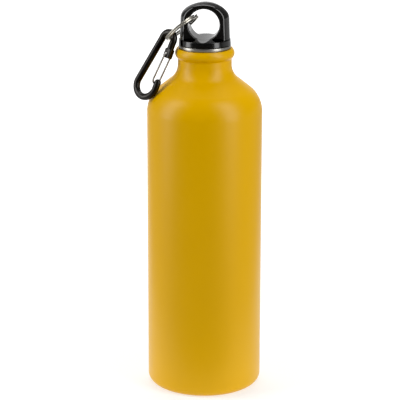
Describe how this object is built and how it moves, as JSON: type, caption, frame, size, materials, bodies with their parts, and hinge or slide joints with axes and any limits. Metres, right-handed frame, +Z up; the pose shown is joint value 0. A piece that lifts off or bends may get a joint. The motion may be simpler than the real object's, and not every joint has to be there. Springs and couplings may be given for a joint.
{
  "type": "aluminium water bottle",
  "caption": "Round-shouldered aluminium drinking bottle with a screw cap, carrying loop, split ring and wire-gate carabiner.",
  "frame": {"origin": "centre of the flat recess under the base, one millimetre above the plane the foot stands on, which is at Z = 0", "axes": "+Z up along the bottle's axis, -Y towards the viewer's side of the cap's loop, +X to the viewer's right"},
  "size_m": [0.0815, 0.073, 0.25],
  "materials": {
    "enamel": null,
    "collar": "bare turned aluminium",
    "cap": "moulded black polypropylene, semi-gloss",
    "washer": "clear silicone rubber",
    "ring": "nickel-plated spring steel",
    "carabiner": "black anodised rod",
    "gate": "drawn stainless spring wire"
  },
  "bodies": {
    "bottle": {"bottle_shell": "enamel", "neck_collar": "collar"},
    "seal": {"sealing_washer": "washer"},
    "cap": {"screw_cap": "cap"},
    "ring": {"split_ring": "ring"},
    "carabiner": {"carabiner_frame": "carabiner"},
    "gate": {"wire_gate": "gate"}
  },
  "joints": [
    {"name": "cap_lift", "type": "slide", "parent": "bottle", "child": "seal", "axis": [0, 0, 1], "range_m": [0, 0.012]},
    {"name": "cap_turn", "type": "hinge", "parent": "seal", "child": "cap", "pos_m": [0, 0, 0.22372], "axis": [0, 0, 1], "range_deg": [0, 1080]},
    {"name": "ring_swing", "type": "hinge", "parent": "cap", "child": "ring", "pos_m": [0, 0, 0.23707], "axis": [0.0958, 0.9954, 0], "range_deg": [0, 90]},
    {"name": "carabiner_swing", "type": "hinge", "parent": "ring", "child": "carabiner", "pos_m": [-0.02315, 0.00022, 0.22678], "axis": [0.2268, 0.9608, -0.1593], "range_deg": [0, 75]},
    {"name": "gate_open", "type": "hinge", "parent": "carabiner", "child": "gate", "pos_m": [-0.02258, -0.00513, 0.21852], "axis": [0.6287, 0.6742, -0.3874], "range_deg": [0, 30], "stiffness_Nm_per_rad": 0.02, "springref_deg": -11.46}
  ],
  "couplings": [
    {"joint": "cap_lift", "follows": "cap_turn", "m_per_rad": 0.0006366}
  ]
}
